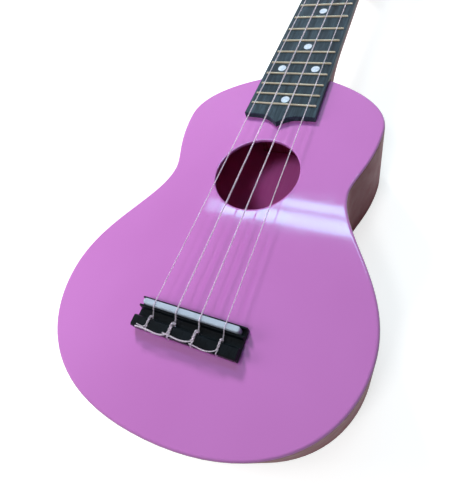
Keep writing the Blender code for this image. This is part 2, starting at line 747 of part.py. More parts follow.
def make_worm(name, frame, side, materials):
    """Worm on its shaft, which runs out past the headstock's edge into the button."""
    inner_end = WORM_LENGTH / 2 + SNUG + EAR_T + 0.8
    outer_end = BUTTON_X - POST_HALF_SPACING + BUTTON_BORE_D - 1
    low, high = sorted((-side * inner_end, side * outer_end))
    worm = add(f"tuner_worm_{name}", rod_mesh(SHAFT_R, low, high, 14), materials["chrome"], frame)
    combine(worm, add(f"worm_thread_{name}", thread_mesh(), frame=frame), "UNION")


def make_plate(name, frame, materials):
    """Base plate on the back of the headstock with two ears that carry the worm's shaft."""
    foot = -CENTRES - PLATE_FOOT_V
    base = box_mesh((-PLATE_HALF_X, foot, PLATE_LOW_N), (PLATE_HALF_X, PLATE_TOP_V, PLATE_TOP_N))
    plate = add(f"tuner_plate_{name}", base, materials["chrome"], frame)
    ear_in = WORM_LENGTH / 2 + SNUG
    for label, side in (("low", -1), ("high", 1)):
        x0, x1 = sorted((side * ear_in, side * (ear_in + EAR_T)))
        ear = box_mesh((x0, -CENTRES - EAR_HALF_V, WORM_N - EAR_OVER),
                       (x1, -CENTRES + EAR_HALF_V, PLATE_LOW_N + PLATE_T / 2))
        combine(plate, add(f"ear_{label}_{name}", ear, frame=frame), "UNION")
    shaft = rod_mesh(SHAFT_R + RUNNING, -ear_in - EAR_T - 1, ear_in + EAR_T + 1, 24)
    place = frame @ worm_frame()
    combine(plate, add(f"shaft_bore_{name}", shaft, frame=place), "DIFFERENCE")
    hole = rod_mesh(POST_R + RUNNING, PLATE_LOW_N - 0.2, PLATE_TOP_N + 1, 20)
    combine(plate, add(f"plate_hole_{name}", hole, frame=frame), "DIFFERENCE")


def worm_frame():
    """The worm's axis in a machine's frame: its Z lies along X, its X points to the wheel."""
    return Matrix(((0, 0, 1, 0), (1, 0, 0, -CENTRES * MM), (0, 1, 0, WORM_N * MM), (0, 0, 0, 1)))


def make_button(name, frame, side, materials):
    """Flattened oval button moulded on the end of the worm's shaft."""
    start_z = BUTTON_X - POST_HALF_SPACING
    bm = bmesh.new()
    bmesh.ops.create_uvsphere(bm, u_segments=14, v_segments=8, radius=1.0)
    size = Vector((BUTTON_HALF_W, BUTTON_HALF_T, BUTTON_L / 2)) * MM
    bmesh.ops.scale(bm, vec=size, verts=bm.verts)
    bmesh.ops.translate(bm, vec=(0, 0, side * (start_z + BUTTON_L / 2) * MM), verts=bm.verts)
    button = add(f"tuner_button_{name}", closed_mesh(bm, "button"), materials["button"], frame)
    low, high = sorted((side * (start_z - 2), side * (start_z + BUTTON_BORE_D)))
    bore = rod_mesh(SHAFT_R + SNUG, low, high, 14)
    combine(button, add(f"button_bore_{name}", bore, frame=frame), "DIFFERENCE")


def make_tuners(materials):
    """Four tuning machines on the headstock."""
    for name, x, v, side in tuner_places():
        frame = HEAD_FRAME @ Matrix.Translation(Vector((x, v, 0)) * MM)
        make_plate(name, frame, materials)
        make_post(name, frame, materials)
        make_ferrule(name, frame, materials)
        make_wheel(name, frame, materials)
        make_worm(name, frame @ worm_frame(), side, materials)
        make_button(name, frame @ worm_frame(), side, materials)


def tie_route(x, radius, tail):
    """From the end of the tail, round the tie block, to the saddle."""
    top = TOP_Z + TIE_H + radius + GAP
    hole = TOP_Z + TIE_HOLE_H
    rear = BRIDGE_REAR - radius - GAP
    step = 2 * radius + 0.45
    knot = TIE_FRONT + 1.5
    return [(x - tail, BRIDGE_REAR + 1.1, top), (x - 2.6, BRIDGE_REAR + 1.1, top),
            (x - 1.5, BRIDGE_REAR + 1.4, top), (x - step, BRIDGE_REAR + 2.6, top),
            (x - step, TIE_RIDGE, top), (x - step, knot, TOP_Z + TIE_H - 0.9),
            (x - step * 0.6, knot + 0.6, TOP_Z + VALLEY_H + radius + 0.5),
            (x + step * 0.6, knot + 0.6, TOP_Z + VALLEY_H + radius + 0.5),
            (x + step, knot, TOP_Z + TIE_H - 0.9), (x + step, TIE_RIDGE, top),
            (x + step, BRIDGE_REAR + 2.6, top), (x + step, BRIDGE_REAR + 1.4, top + step),
            (x + step, rear + 0.6, top + step), (x + step * 0.8, rear - 0.3, top),
            (x, rear - 0.3, hole + 0.8), (x, rear + 0.4, hole), (x, TIE_FRONT - 0.6, hole),
            (x, WALL_REAR - 1.4, TOP_Z + LIP_H + 0.2)]


def post_route(name, radius):
    """Winding on a post, from the nut's side up to the cross hole, in the headstock's frame."""
    _name, x, v, side = next(place for place in tuner_places() if place[0] == name)
    wrap = POST_WAIST_R + radius + GAP
    pitch = 2 * radius + TURN_GAP
    rise = POST_HOLE_N - pitch * (TURNS + RISE_TO_HOLE)
    count = int(TURNS * TURN_POINTS)
    points = []
    for i in range(count - 1):
        angle = 2 * math.pi * i / TURN_POINTS
        n = rise + pitch * i / TURN_POINTS
        points.append((x - side * wrap * math.cos(angle), v + wrap * math.sin(angle), n))
    mouth = POST_WAIST_R + SNUG
    points.append((x - side * wrap, v - radius, POST_HOLE_N - SUNK))
    points.append((x - side * mouth, v, POST_HOLE_N))
    points.append((x + side * (mouth + STRING_END), v, POST_HOLE_N))
    return points


def route_gap(points, radius):
    """Least space between parts of one string that aren't neighbours along it."""
    fine = []
    for p, q in zip(points, points[1:]):
        count = max(1, math.ceil((Vector(q) - Vector(p)).length / 0.25))
        fine += [Vector(p).lerp(Vector(q), k / count) for k in range(count)]
    fine.append(Vector(points[-1]))
    least = math.inf
    reach = 6 * radius
    for i, p in enumerate(fine):
        run = 0.0
        for before, q in zip(fine[i:], fine[i + 1:]):
            run += (q - before).length
            if run > reach:
                least = min(least, (q - p).length - 2 * radius)
    return least


def make_strings(materials):
    """Strings from the tie block over saddle and nut to the windings on the posts."""
    for index, (name, gauge) in enumerate(STRINGS):
        radius = gauge / 2
        x = string_x(index, SADDLE_SPACING)
        tail = SADDLE_SPACING - 0.4 if index else 6.0
        height = TOP_Z + SADDLE_H + radius + GAP
        points = tie_route(x, radius, tail)
        points += [(x, -SADDLE_T / 2 + 0.2, height - 0.1), (x, SADDLE_T / 2, height)]
        nut_x = string_x(index, NUT_SPACING)
        points += [(nut_x, SCALE, string_height(index)),
                   (nut_x, NUT_BACK_Y, string_height(index))]
        winding = [tuple(HEAD_FRAME @ (Vector(p) * MM) / MM) for p in post_route(name, radius)]
        points += winding
        least = route_gap(winding, radius)
        print(f"string_{name}: winding's least gap to itself {least:.2f} mm")
        curve = bpy.data.curves.new(f"string_{name}", "CURVE")
        curve.dimensions = "3D"
        curve.bevel_depth = radius * MM
        curve.bevel_resolution = 1
        curve.use_fill_caps = True
        spline = curve.splines.new("POLY")
        spline.points.add(len(points) - 1)
        for point, place in zip(spline.points, points):
            point.co = (*(Vector(place) * MM), 1)
        piece = bpy.data.objects.new(f"string_{name}", curve)
        PART.objects.link(piece)
        curve.materials.append(materials["nylon"])


def shade(piece):
    """Smooth round faces and keep the sharp edges."""
    if piece.type == "MESH" and piece.data.polygons:
        piece.data.shade_smooth()
        piece.data.set_sharp_from_angle(angle=math.radians(35))


def main():
    start()
    materials = {
        "top": finish("pink_lacquer", (0.62, 0.23, 0.66), 0.12),
        "side": finish("dark_lacquer", (0.16, 0.08, 0.09), 0.15),
        "neck": finish("neck_lacquer", (0.16, 0.08, 0.09), 0.15),
        "board": finish("fingerboard_wood", (0.04, 0.06, 0.08), 0.45),
        "bridge": finish("bridge_plastic", (0.008, 0.010, 0.012), 0.3),
        "bone": finish("bone_plastic", (0.36, 0.47, 0.62), 0.35),
        "fret": finish("fret_wire", (0.75, 0.66, 0.48), 0.25, 1.0),
        "nylon": finish("nylon", (0.75, 0.74, 0.72), 0.25),
        "lining": finish("lining_wood", (0.45, 0.30, 0.17), 0.7),
        "block": finish("block_wood", (0.40, 0.26, 0.15), 0.7),
        "brace": finish("brace_wood", (0.58, 0.43, 0.26), 0.7),
        "chrome": finish("chrome", (0.75, 0.75, 0.76), 0.15, 1.0),
        "brass": finish("brass", (0.70, 0.52, 0.24), 0.3, 1.0),
        "button": finish("button_plastic", (0.75, 0.73, 0.70), 0.25),
    }
    make_plates(materials)
    make_sides(materials)
    make_linings(materials)
    make_blocks(materials)
    make_braces(materials)
    make_fingerboard(materials)
    make_frets(materials)
    make_nut(materials)
    make_bridge(materials)
    make_saddle(materials)
    make_neck(materials)
    make_tuners(materials)
    make_strings(materials)
    for piece in PART.objects:
        shade(piece)


main()
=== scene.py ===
"""Finish of a pink soprano ukulele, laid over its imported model. X goes across the body from the
g string to the a string, Y from the saddle to the head, Z up out of the soundboard."""
import math

import bmesh
import bpy
from mathutils import Matrix, Vector


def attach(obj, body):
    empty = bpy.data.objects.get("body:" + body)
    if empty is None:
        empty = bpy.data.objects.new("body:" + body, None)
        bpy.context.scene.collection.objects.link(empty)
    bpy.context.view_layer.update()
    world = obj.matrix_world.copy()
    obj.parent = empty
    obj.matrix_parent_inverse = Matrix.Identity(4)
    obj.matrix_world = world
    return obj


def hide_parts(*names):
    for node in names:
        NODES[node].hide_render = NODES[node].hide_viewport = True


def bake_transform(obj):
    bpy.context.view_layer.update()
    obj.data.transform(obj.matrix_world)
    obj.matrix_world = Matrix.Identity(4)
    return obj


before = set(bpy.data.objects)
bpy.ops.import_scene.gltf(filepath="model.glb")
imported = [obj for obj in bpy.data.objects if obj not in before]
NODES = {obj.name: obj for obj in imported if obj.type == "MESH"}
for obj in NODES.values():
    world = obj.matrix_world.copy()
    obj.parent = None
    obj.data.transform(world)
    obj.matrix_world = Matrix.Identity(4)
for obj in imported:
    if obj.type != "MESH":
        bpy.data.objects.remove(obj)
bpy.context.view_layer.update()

MM = 0.001

# Sizes in millimetres, as the solids have them
SCALE = 346.0  # from the saddle to the nut
TOP = 52.2  # face of the soundboard
TOP_THICKNESS = 2.0
BACK_THICKNESS = 2.2
SIDE_THICKNESS = 1.8
RIM = 1.3  # rounding of the body's edges
GLUE = 0.3  # gap that the solids leave for glue
SOUNDHOLE_Y = 93.5
SOUNDHOLE_RADIUS = 25.6
NUT_HALF = 18.0  # half widths, as all names with HALF
BOARD_END_Y = 136.7  # where the fingerboard's pointed end starts
BOARD_END_HALF = 23.2
BOARD_TOP = 55.8
FRETS = 15
FRET_INSET = 1.5  # from the board's edge to a fret's end
FRET_CROWN_HALF = 0.68
FRET_CROWN_HEIGHT = 1.15
DOT_RADIUS = 2.75
DOT_THICKNESS = 0.5
NUT_TOP = 57.7
NUT_BACK_Y = 350.0  # where the nut ends and the headstock begins
SADDLE_HALF = 27.4
SADDLE_FOOT = 54.7
SADDLE_TOP = 59.8
SADDLE_THICKNESS = 3.2
TIE_TOP = 58.0
TIE_FRONT_Y = -7.3
TIE_REAR_Y = -13.7
TIE_HOLE_Z = 55.3  # the strings' holes through the tie block
SADDLE_SPACING = 13.4
NUT_SPACING = 8.9
NECK_DEPTH = 14.5
NECK_TAPER = 2.0  # how much shallower the neck is at the nut
HEEL_Y = 174.4
HEEL_END_Y = 208.2  # where the heel's curve meets the neck
HEEL_ROUND = 25.0  # length of that curve
HEEL_DROP = 29.5  # how much deeper the heel is than the neck
HEAD_THICKNESS = 11.0
HEAD_Y = 350.3  # the headstock's face starts here and falls away by TILT
TILT = math.radians(13.0)
POST_BORE_RADIUS = 4.15
POST_WAIST_RADIUS = 2.2
POST_HOLE_HEIGHT = 9.0  # the cross hole, over the headstock's face
TURNS = 2
TURN_POINTS = 32
TURN_GAP = 0.55  # between two turns of a winding
PLATE_DEPTH = 12.3  # depths under the headstock's face
WHEEL_DEPTH = 16.75
WORM_DEPTH = 15.25
WORM_OFFSET = 6.275  # from the post's axis to the worm's
BUTTON_X = 42.0
BUTTON_HALF = (7.5, 6.6, 3.6)
BUTTON_SQUARENESS = 3.2  # exponent of the superellipsoid
# Dots between the frets: one at 15, two at 12, then one each at 10, 7 and 5
DOTS = [(0, 150.0), (-11.4, 178.3), (11.4, 178.3), (0, 200.0), (0, 238.0), (0, 266.9)]
# A string's name and gauge, and how its tail lies on the tie block: reach, lift and bow
STRINGS = [("g", 0.60, 5.6, 0.45, 0.0), ("c", 0.86, 19.2, -0.4, 0.5),
           ("e", 0.80, 16.6, 0.35, 0.5), ("a", 0.60, 14.6, -0.2, 0.7)]
# A machine's name, where its post stands on the head, and the side of its button
MACHINES = [("g", -17.5, 28.0, -1), ("c", -17.5, 64.0, -1),
            ("e", 17.5, 64.0, 1), ("a", 17.5, 28.0, 1)]
# The headstock's face: X across, Y along it from the nut, Z out of it
HEAD = Matrix(((1, 0, 0, 0),
               (0, math.cos(TILT), math.sin(TILT), HEAD_Y * MM),
               (0, -math.sin(TILT), math.cos(TILT), TOP * MM),
               (0, 0, 0, 1)))


# Materials

def linear(code):
    """An sRGB hex colour as the linear one that a shader takes."""
    parts = [int(code[i:i + 2], 16) / 255 for i in (1, 3, 5)]
    return (*[p / 12.92 if p <= 0.04045 else ((p + 0.055) / 1.055) ** 2.4 for p in parts], 1)


def put(tree, kind, values=None, links=None, **settings):
    """Add one shader node: settings are its properties, values its sockets, links what feeds it."""
    made = tree.nodes.new("ShaderNode" + kind)
    for name, value in settings.items():
        setattr(made, name, value)
    for entry, value in (values or {}).items():
        made.inputs[entry].default_value = value
    for entry, source in (links or {}).items():
        tree.links.new(source, made.inputs[entry])
    return made


def socket(word):
    """The shader's own name of a socket that is written here in small letters."""
    return word.replace("_", " ").title().replace("Ior", "IOR")


def blank(name, **sockets):
    """A material with one Principled shader and the constants of its sockets."""
    material = bpy.data.materials.new(name)
    material.use_nodes = True
    tree = material.node_tree
    shader = tree.nodes["Principled BSDF"]
    for word, value in sockets.items():
        shader.inputs[socket(word)].default_value = value
    return material, tree, shader


def grain(tree, size, detail=3.0):
    """Noise in the object's own space with its features' size along X, Y and Z in millimetres."""
    place = put(tree, "TexCoord")
    stretch = put(tree, "Mapping", {"Scale": [1 / (s * MM) for s in size]},
                  {"Vector": place.outputs["Object"]})
    return put(tree, "TexNoise", {"Scale": 1.0, "Detail": detail, "Roughness": 0.55},
               {"Vector": stretch.outputs["Vector"]}).outputs["Fac"]


def between(tree, factor, low, high, from_low=0.3, from_high=0.7):
    """A factor mapped to a range of numbers."""
    return put(tree, "MapRange", {"From Min": from_low, "From Max": from_high,
                                  "To Min": low, "To Max": high},
               {"Value": factor}).outputs["Result"]


def shades(tree, factor, stops):
    """A factor turned into colours: stops are (place, hex)."""
    ramp = put(tree, "ValToRGB", None, {"Fac": factor})
    while len(ramp.color_ramp.elements) < len(stops):
        ramp.color_ramp.elements.new(0.5)
    for element, (at, code) in zip(ramp.color_ramp.elements, stops):
        element.position = at
        element.color = linear(code)
    return ramp.outputs["Color"]


def relief(tree, shader, height, depth, strength):
    """Bump from a height, its depth in millimetres."""
    bump = put(tree, "Bump", {"Strength": strength, "Distance": depth * MM}, {"Height": height})
    tree.links.new(bump.outputs["Normal"], shader.inputs["Normal"])


def feed(tree, shader, **sources):
    """Links into the shader's sockets."""
    for word, source in sources.items():
        tree.links.new(source, shader.inputs[socket(word)])


def lacquer(name, low, high, smooth, rough, coat=0.15, gloss=0.5):
    """Sprayed polyester lacquer over sealed plywood, rubbed out to a gloss. The eye gets one even
    colour that drifts a little from coat to coat, a clear reflection with soft borders, and the
    faint orange peel that bends it. The peel's 3 mm cells are drawn at 5 mm so that they show.
    The sides and the neck are left satin: no clear coat, and a wide, dim sheen. Their dark wine red
    is the pink lacquer's painted shade."""
    material, tree, shader = blank(name, ior=1.5, coat_weight=coat, coat_roughness=0.03,
                                   specular_ior_level=gloss)
    tint = shades(tree, grain(tree, (70, 90, 40), 2.0), [(0.3, low), (0.7, high)])
    haze = between(tree, grain(tree, (9, 9, 9), 4.0), smooth, rough)
    feed(tree, shader, base_color=tint, roughness=haze)
    relief(tree, shader, grain(tree, (5, 5, 5), 1.0), 0.02, 0.25)
    return material


def bare_wood(name, dark, light, along):
    """Sawn wood inside the body, dusted with the spray. The eye gets matt pinkish colour with
    darker growth lines along the grain and short pores. Growth lines of 1 mm and pores of 0.3 mm
    are drawn half as wide again. along is the axis of the grain."""
    material, tree, shader = blank(name, ior=1.45)
    lines = [1.5, 1.5, 1.5]
    lines[along] = 60
    pores = [0.45, 0.45, 0.45]
    pores[along] = 7
    growth = grain(tree, lines, 3.0)
    pore = grain(tree, pores, 2.0)
    feed(tree, shader, base_color=shades(tree, growth, [(0.32, dark), (0.6, light)]),
         roughness=between(tree, pore, 0.54, 0.72))
    relief(tree, shader, pore, 0.08, 0.5)
    return material


def sprayed_inside(name, thin, thick):
    """Plywood inside the body, dyed by overspray. The eye gets a matt colour with the wood's
    grain under it, and blotches where the spray reached less. The back took the top's pink, the
    sides their own red, which warms the shade around the lit patch under the soundhole."""
    material, tree, shader = blank(name, ior=1.45)
    cloud = grain(tree, (35, 50, 35), 3.0)
    line = grain(tree, (2.2, 70, 2.2), 3.0)
    both = put(tree, "Mix", {"Factor": 0.35}, {"A": cloud, "B": line}, data_type="FLOAT")
    feed(tree, shader, base_color=shades(tree, both.outputs["Result"],
                                         [(0.35, thin), (0.65, thick)]),
         roughness=between(tree, line, 0.5, 0.7))
    relief(tree, shader, line, 0.1, 0.4)
    return material


def fingerboard_wood():
    """Dyed maple, sanded and oiled. The eye gets a slate black with long, slightly lighter streaks
    along the neck, short dark pores and a low satin sheen. Pores are drawn 0.5 mm wide."""
    material, tree, shader = blank("dyed_maple", ior=1.45, specular_ior_level=0.22)
    streak = grain(tree, (2.4, 45, 2.4), 4.0)
    pore = grain(tree, (0.5, 6, 0.5), 2.0)
    both = put(tree, "Mix", {"Factor": 0.4}, {"A": streak, "B": pore}, data_type="FLOAT")
    feed(tree, shader, base_color=shades(tree, both.outputs["Result"],
                                         [(0.36, "#1C252D"), (0.5, "#2C3943"), (0.66, "#3F4F5A")]),
         roughness=between(tree, pore, 0.38, 0.55))
    relief(tree, shader, pore, 0.06, 0.55)
    return material


def moulded(name, dark, light, smooth, rough, peel=0.02, gloss=0.5):
    """Moulded plastic, tumbled to a satin. The eye gets an even colour, a broad highlight and the
    slight waviness of a moulded face, with fine scuffs in the gloss."""
    material, tree, shader = blank(name, ior=1.49, specular_ior_level=gloss)
    feed(tree, shader, base_color=shades(tree, grain(tree, (6, 6, 6), 3.0),
                                         [(0.35, dark), (0.65, light)]),
         roughness=between(tree, grain(tree, (0.9, 2.5, 0.9), 4.0), smooth, rough))
    relief(tree, shader, grain(tree, (2.4, 2.4, 2.4), 2.0), peel, 0.2)
    return material


def pearl():
    """Pearloid plastic of the position dots. The eye gets a milky white with cool, slowly turning
    flakes about 1.5 mm wide under a polished face."""
    material, tree, shader = blank("pearloid", ior=1.5, coat_weight=0.6, coat_roughness=0.08)
    flake = put(tree, "TexVoronoi", {"Scale": 1 / (1.5 * MM), "Randomness": 1.0},
                {"Vector": put(tree, "TexCoord").outputs["Object"]})
    feed(tree, shader, base_color=shades(tree, flake.outputs["Distance"],
                                         [(0.1, "#E3ECF7"), (0.7, "#B9C8DC")]),
         roughness=between(tree, flake.outputs["Distance"], 0.18, 0.35, 0.0, 1.0))
    relief(tree, shader, flake.outputs["Distance"], 0.03, 0.2)
    return material


def metal(name, dark, light, smooth, rough, lines, depth=0.01):
    """Metal with the marks of its last tool. The eye gets a bright mirror broken by fine lines
    and a slightly uneven tarnish. The lines are drawn 0.2 mm or wider, the real ones are finer."""
    material, tree, shader = blank(name, metallic=1.0)
    mark = grain(tree, lines, 3.0)
    feed(tree, shader, base_color=shades(tree, grain(tree, (4, 4, 4), 3.0),
                                         [(0.3, dark), (0.7, light)]),
         roughness=between(tree, mark, smooth, rough))
    relief(tree, shader, mark, depth, 0.35)
    return material


def nylon():
    """Extruded nylon line. The eye gets a milky, half clear thread with a bright line of gloss
    along it and faint rings from drawing, 0.4 mm apart."""
    material, tree, shader = blank("nylon_line", ior=1.53, transmission_weight=0.74)
    ring = grain(tree, (0.4, 0.4, 0.4), 2.0)
    feed(tree, shader, base_color=shades(tree, ring, [(0.3, "#F2E6F4"), (0.7, "#FAF2FC")]),
         roughness=between(tree, ring, 0.24, 0.34))
    relief(tree, shader, ring, 0.004, 0.1)
    return material


FINISH = {
    "top": lacquer("pink_polyester_lacquer", "#BC6ABA", "#C170C0", 0.06, 0.095),
    # The sides, back and neck: a dark wine red that is the pink lacquer's painted shade.
    "side": lacquer("pink_lacquer_painted_shade", "#692430", "#722A37", 0.46, 0.56, 0.0, 0.15),
    "neck": lacquer("neck_lacquer_painted_shade", "#692430", "#722A37", 0.42, 0.52, 0.0, 0.15),
    "inside": sprayed_inside("overspray_pink", "#E26AC8", "#EA7CD4"),
    "flank": sprayed_inside("overspray_rose", "#EA4872", "#F25C86"),
    "lining": bare_wood("oversprayed_lining", "#A04E74", "#BC6C8E", 1),
    "block": bare_wood("oversprayed_block", "#96405E", "#AE587A", 2),
    "brace": bare_wood("oversprayed_brace", "#AC5E7C", "#C67E98", 0),
    "board": fingerboard_wood(),
    "bridge": moulded("black_abs", "#0A0E12", "#11161B", 0.24, 0.38, gloss=0.08),
    "bone": moulded("bluish_white_urea", "#A6B2C2", "#B0BCCC", 0.3, 0.42, 0.01),
    "button": moulded("ivory_abs", "#C8C3B8", "#D5D1C7", 0.14, 0.26, 0.01),
    "pearl": pearl(),
    "fret": metal("nickel_brass_wire", "#B0A592", "#C4BAA9", 0.24, 0.36, (12, 0.2, 0.2), 0.005),
    "chrome": metal("chromed_steel", "#B9BBC0", "#DADCE0", 0.07, 0.16, (3, 3, 3), 0.005),
    "brass": metal("turned_brass", "#B08B45", "#D4B36A", 0.2, 0.36, (0.2, 0.2, 2.0)),
    "screw": metal("nickelled_screw", "#9C9EA3", "#C6C8CC", 0.18, 0.32, (1.2, 1.2, 1.2)),
    "nylon": nylon(),
}


# Shapes

def finish(name, bm, body, material, replaces=(), others=(), sharp=35, turn=True):
    """Close a bmesh into a piece that rides on a body. turn recalculates the normals, and others
    are the materials that paint_faces gives to some faces."""
    if turn:
        bmesh.ops.recalc_face_normals(bm, faces=bm.faces[:])
    mesh = bpy.data.meshes.new(name)
    bm.to_mesh(mesh)
    bm.free()
    mesh.shade_smooth()
    mesh.set_sharp_from_angle(angle=math.radians(sharp))
    piece = bpy.data.objects.new(name, mesh)
    bpy.context.scene.collection.objects.link(piece)
    mesh.materials.append(FINISH[material])
    for other in others:
        mesh.materials.append(FINISH[other])
    if body:
        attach(piece, body)
    if replaces:
        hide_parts(*replaces)
    return piece


def mirrored(half):
    """A whole loop from the knots of its right half: each is (point, handle in, handle out)."""
    other = [((-p[0], p[1]), (-b[0], b[1]), (-a[0], a[1]))
             for p, a, b in reversed(half) if abs(p[0]) > 1e-6]
    return half + other


def meshed(curve):
    """The mesh of a curve, which is used up, in a bmesh."""
    holder = bpy.data.objects.new("curve", curve)
    bm = bmesh.new()
    bm.from_mesh(holder.to_mesh())
    holder.to_mesh_clear()
    bpy.data.objects.remove(holder)
    bpy.data.curves.remove(curve)
    return bm


def drawn(knots, resolution):
    """The edges of one closed Bezier loop at Z 0, in a bmesh."""
    curve = bpy.data.curves.new("outline", "CURVE")
    curve.dimensions = "2D"
    curve.fill_mode = "NONE"
    spline = curve.splines.new("BEZIER")
    spline.bezier_points.add(len(knots) - 1)
    spline.use_cyclic_u = True
    spline.resolution_u = resolution
    for point, (place, before, after) in zip(spline.bezier_points, knots):
        place, before, after = (Vector((*v, 0)) * MM for v in (place, before, after))
        point.handle_left_type = point.handle_right_type = "FREE"
        point.co = place
        point.handle_left = place + before
        point.handle_right = place + after
    bm = meshed(curve)
    bmesh.ops.remove_doubles(bm, verts=bm.verts[:], dist=0.01 * MM)
    bmesh.ops.dissolve_limit(bm, angle_limit=math.radians(0.05), verts=bm.verts[:],
                             edges=bm.edges[:])
    return bm


def rounded(bm, faces, radius, steps, hem):
    """Round the rim of a flat region: each inset is one step of a quarter circle, and the last
    is a flat hem that keeps the shading of the rim off the face."""
    for i in range(steps):
        a, b = (math.pi / 2 * k / steps for k in (i, i + 1))
        bmesh.ops.inset_region(bm, faces=faces,
                               thickness=radius * (math.cos(a) - math.cos(b)) * MM,
                               depth=radius * (math.sin(b) - math.sin(a)) * MM,
                               use_boundary=True, use_even_offset=True)
    bmesh.ops.inset_region(bm, faces=faces, thickness=hem * MM, depth=0,
                           use_boundary=True, use_even_offset=True)


def slab(knots, low, high, under=0.0, over=0.0, holes=(), resolution=12, steps=4, hem=0.4):
    """A flat board from its outline, with rounded lower and upper rims and drilled holes.
    A hole is (x, y, radius, rounding), and starts as a disc that is wider by ring."""
    bm = drawn(knots, resolution)
    mark = bm.faces.layers.int.new("hole")
    ring = 1.3
    rims = []
    for x, y, radius, _edge in holes:
        made = bmesh.ops.create_circle(bm, cap_ends=False, segments=64,
                                       radius=(radius + ring) * MM,
                                       matrix=Matrix.Translation((x * MM, y * MM, 0)))
        rims.append(made["verts"])
    bmesh.ops.triangle_fill(bm, use_beauty=True, edges=bm.edges[:])
    for index, verts in enumerate(rims, 1):
        bm.faces.new(verts)[mark] = index
    for face in bm.faces:
        face.normal_update()
        if face.normal.z < 0:
            face.normal_flip()
    base = bm.faces[:]
    bmesh.ops.translate(bm, verts=bm.verts[:], vec=(0, 0, (low + under) * MM))
    made = bmesh.ops.extrude_face_region(bm, geom=base)["geom"]
    upper = [g for g in made if isinstance(g, bmesh.types.BMFace)]
    bmesh.ops.translate(bm, verts=[g for g in made if isinstance(g, bmesh.types.BMVert)],
                        vec=(0, 0, (high - low - over - under) * MM))
    bmesh.ops.recalc_face_normals(bm, faces=bm.faces[:])
    for faces, radius in ((upper, over), (base, under)):
        if radius:
            rounded(bm, faces, radius, steps, hem)
    drilled = [([f for f in upper + base if f[mark] == index], edge)
               for index, (_x, _y, _radius, edge) in enumerate(holes, 1)]
    for discs, edge in drilled:
        loops = []
        for disc in discs:
            bmesh.ops.inset_region(bm, faces=[disc], thickness=ring * MM,
                                   use_boundary=True, use_even_offset=True)
            loops.append(disc.edges[:])
        bmesh.ops.delete(bm, geom=discs, context="FACES_ONLY")
        bmesh.ops.bridge_loops(bm, edges=loops[0] + loops[1])
        bmesh.ops.recalc_face_normals(bm, faces=bm.faces[:])
        if edge:
            bmesh.ops.bevel(bm, geom=loops[0] + loops[1], offset=edge * MM, segments=3,
                            profile=0.5, affect="EDGES", material=-1)
    return bm


def copied(node, place=None):
    """A CAD node's mesh, merged, with its flat faces whole again, in its own upright frame."""
    bm = bmesh.new()
    bm.from_mesh(NODES[node].data)
    if place:
        bm.transform(place.inverted())
    bmesh.ops.remove_doubles(bm, verts=bm.verts[:], dist=0.001 * MM)
    bmesh.ops.dissolve_limit(bm, angle_limit=math.radians(1.0), verts=bm.verts[:],
                             edges=bm.edges[:])
    return bm


def push(bm, axis, old, new, near=0.06):
    """Move the corners that lie at one coordinate to another, to close a glue line."""
    for vert in bm.verts:
        if abs(vert.co[axis] - old * MM) < near * MM:
            vert.co[axis] = new * MM


def eased(bm, width, segments=2, angle=40, keep_out=()):
    """Take the sharpness off the corners. keep_out are (point, reach) balls left as they are."""
    edges = []
    for edge in bm.edges:
        if len(edge.link_faces) != 2 or edge.calc_face_angle(0) < math.radians(angle):
            continue
        middle = (edge.verts[0].co + edge.verts[1].co) / 2
        if all((middle - Vector(p) * MM).length > reach * MM for p, reach in keep_out):
            edges.append(edge)
    bmesh.ops.bevel(bm, geom=edges, offset=width * MM, segments=segments, profile=0.5,
                    affect="EDGES", clamp_overlap=True, material=-1)
    return bm


def tube(points, radius):
    """A mesh of round line along a run of points."""
    curve = bpy.data.curves.new("line", "CURVE")
    curve.dimensions = "3D"
    curve.bevel_depth = radius * MM
    curve.bevel_resolution = 3
    curve.use_fill_caps = True
    spline = curve.splines.new("POLY")
    spline.points.add(len(points) - 1)
    for point, place in zip(spline.points, points):
        point.co = (*(Vector(place) * MM), 1)
    bm = meshed(curve)
    bmesh.ops.remove_doubles(bm, verts=bm.verts[:], dist=0.001 * MM)
    return bm


def flowing(points, steps=2):
    """A smooth run through points, by Catmull and Rom's rule."""
    points = [Vector(p) for p in points]
    ends = [points[0] * 2 - points[1]] + points + [points[-1] * 2 - points[-2]]
    run = []
    for a, b, c, d in zip(ends, ends[1:], ends[2:], ends[3:]):
        for i in range(steps):
            t = i / steps
            run.append(0.5 * (2 * b + (c - a) * t + (2 * a - 5 * b + 4 * c - d) * t * t
                              + (3 * b - a - 3 * c + d) * t ** 3))
    return run + [points[-1]]


def bored(bm, bits):
    """A shape with holes cut by another, and both of the given ones are used up."""
    holders = []
    for label, shape in (("wood", bm), ("bits", bits)):
        mesh = bpy.data.meshes.new(label)
        shape.to_mesh(mesh)
        shape.free()
        holders.append(bpy.data.objects.new(label, mesh))
        bpy.context.scene.collection.objects.link(holders[-1])
    wood, cutter = holders
    cut = wood.modifiers.new("holes", "BOOLEAN")
    cut.operation = "DIFFERENCE"
    cut.solver = "EXACT"
    cut.object = cutter
    result = bmesh.new()
    result.from_mesh(wood.evaluated_get(bpy.context.evaluated_depsgraph_get()).data)
    for holder in holders:
        mesh = holder.data
        bpy.data.objects.remove(holder)
        bpy.data.meshes.remove(mesh)
    return result


# Body

def body_knots():
    """Knots of the body's outline."""
    half = [((0, 178.2), (-12.9, 0), (12.9, 0)), ((63.6, 134.8), (0, 28.7), (0, -24.7)),
            ((55.0, 89.3), (0, 9.6), (0, -23.7)), ((87.15, 7.75), (0, 35.7), (0, -30.8)),
            ((0, -59.0), (66.0, 0), (-66.0, 0))]
    return mirrored(half)


def paint_faces(bm, test, number=1):
    """Give the faces that a test picks another of the piece's materials."""
    for face in bm.faces:
        face.normal_update()
        if test(face):
            face.material_index = number


